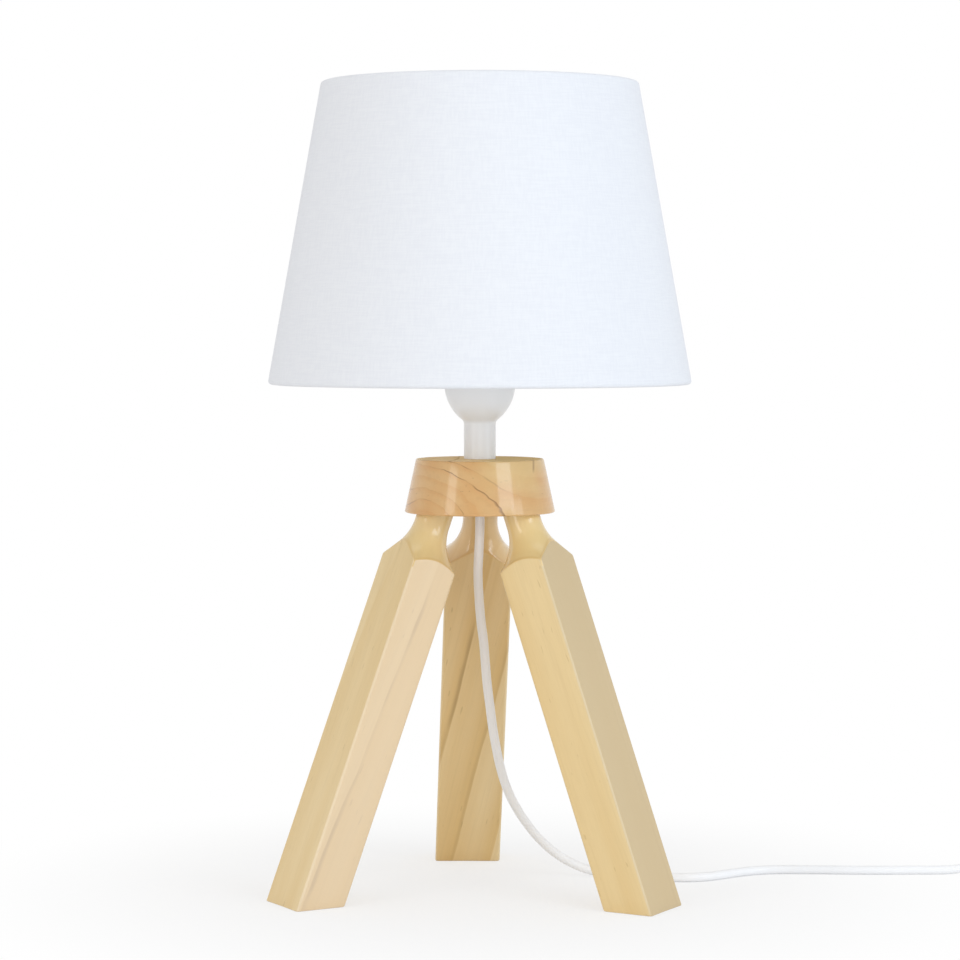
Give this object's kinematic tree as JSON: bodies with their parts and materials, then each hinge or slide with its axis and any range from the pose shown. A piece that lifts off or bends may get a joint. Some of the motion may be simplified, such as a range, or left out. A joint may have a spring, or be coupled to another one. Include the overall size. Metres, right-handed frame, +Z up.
{
  "type": "tripod table lamp",
  "caption": "Table lamp with splayed square wooden legs in a turned hub, a screw lampholder, a tapered white shade, and a cord with an inline rocker switch.",
  "frame": {"origin": "on the floor, on the axis of the hub and the shade", "axes": "+Z up along the hub's axis, -Y towards the front, +X to the side where the cord runs off"},
  "size_m": [0.548, 0.2312, 0.4395],
  "materials": {
    "leg_wood": "pale pine under a clear satin lacquer",
    "hub_wood": "turned pine with dark growth lines under a clear gloss lacquer",
    "white_moulding": "smooth white moulding with a soft gloss",
    "shade_laminate": "fine plain weave on a thin white laminate, matt",
    "white_wire": "white powder coat on steel wire",
    "zinc_steel": "bright zinc plate",
    "brass_parts": "stamped brass, satin",
    "holder_core": "matt white heat-resistant moulding",
    "bulb_glass": "clear thin-blown glass",
    "bulb_light": "yellow coated light sticks on a glass stem",
    "bulb_metal": "nickel-bright rolled cap",
    "black_glass": "fused black glass",
    "cord_sheath": "smooth white sheath with a faint sheen",
    "switch_plastic": "white moulding with a fine spark-eroded grain",
    "pin_metal": "nickel plate on brass"
  },
  "bodies": {
    "root": {"hub": "hub_wood", "leg_back": "leg_wood", "leg_left": "leg_wood", "leg_right": "leg_wood", "threaded_rod": "zinc_steel", "rod_washer": "zinc_steel", "rod_nut": "zinc_steel", "rod_bush": "white_moulding", "holder_cup": "white_moulding", "entry_nipple": "zinc_steel", "lock_screw": "zinc_steel", "holder_insert": "holder_core", "terminal_blocks": "brass_parts", "terminal_screws": "brass_parts", "centre_contact": "brass_parts", "screw_shell": "brass_parts", "holder_shell": "white_moulding", "lamp_lead": "cord_sheath", "cord": "cord_sheath", "switch_base": "switch_plastic", "switch_cover": "switch_plastic", "switch_screws": "zinc_steel", "switch_contacts": "brass_parts", "switch_cores": "cord_sheath", "cord_link": "cord_sheath", "cord_coil": "cord_sheath", "cord_tie": "white_moulding", "cord_end": "cord_sheath", "plug_body": "switch_plastic", "plug_pins": "pin_metal", "plug_sleeves": "switch_plastic"},
    "shade": {"shade_cover": "shade_laminate", "shade_top_wire": "white_wire", "shade_carrier": "white_wire"},
    "ring": {"shade_ring": "white_moulding"},
    "bulb": {"bulb_glass": "bulb_glass", "bulb_filaments": "bulb_light", "bulb_cap": "bulb_metal", "bulb_insulator": "black_glass", "bulb_contact": "bulb_metal"},
    "rocker": {"switch_rocker": "switch_plastic"}
  },
  "joints": [
    {"name": "shade_lift", "type": "slide", "parent": "root", "child": "shade", "axis": [0, 0, 1], "range_m": [0, 0.17]},
    {"name": "ring_lift", "type": "slide", "parent": "shade", "child": "ring", "axis": [0, 0, 1], "range_m": [0, 0.16]},
    {"name": "bulb_lift", "type": "slide", "parent": "root", "child": "bulb", "axis": [0, 0, 1], "range_m": [0, 0.16]},
    {"name": "rocker_tilt", "type": "hinge", "parent": "root", "child": "rocker", "pos_m": [0.327, 0.045, 0.0095], "axis": [0, -1, 0], "range_deg": [0, 14]}
  ]
}
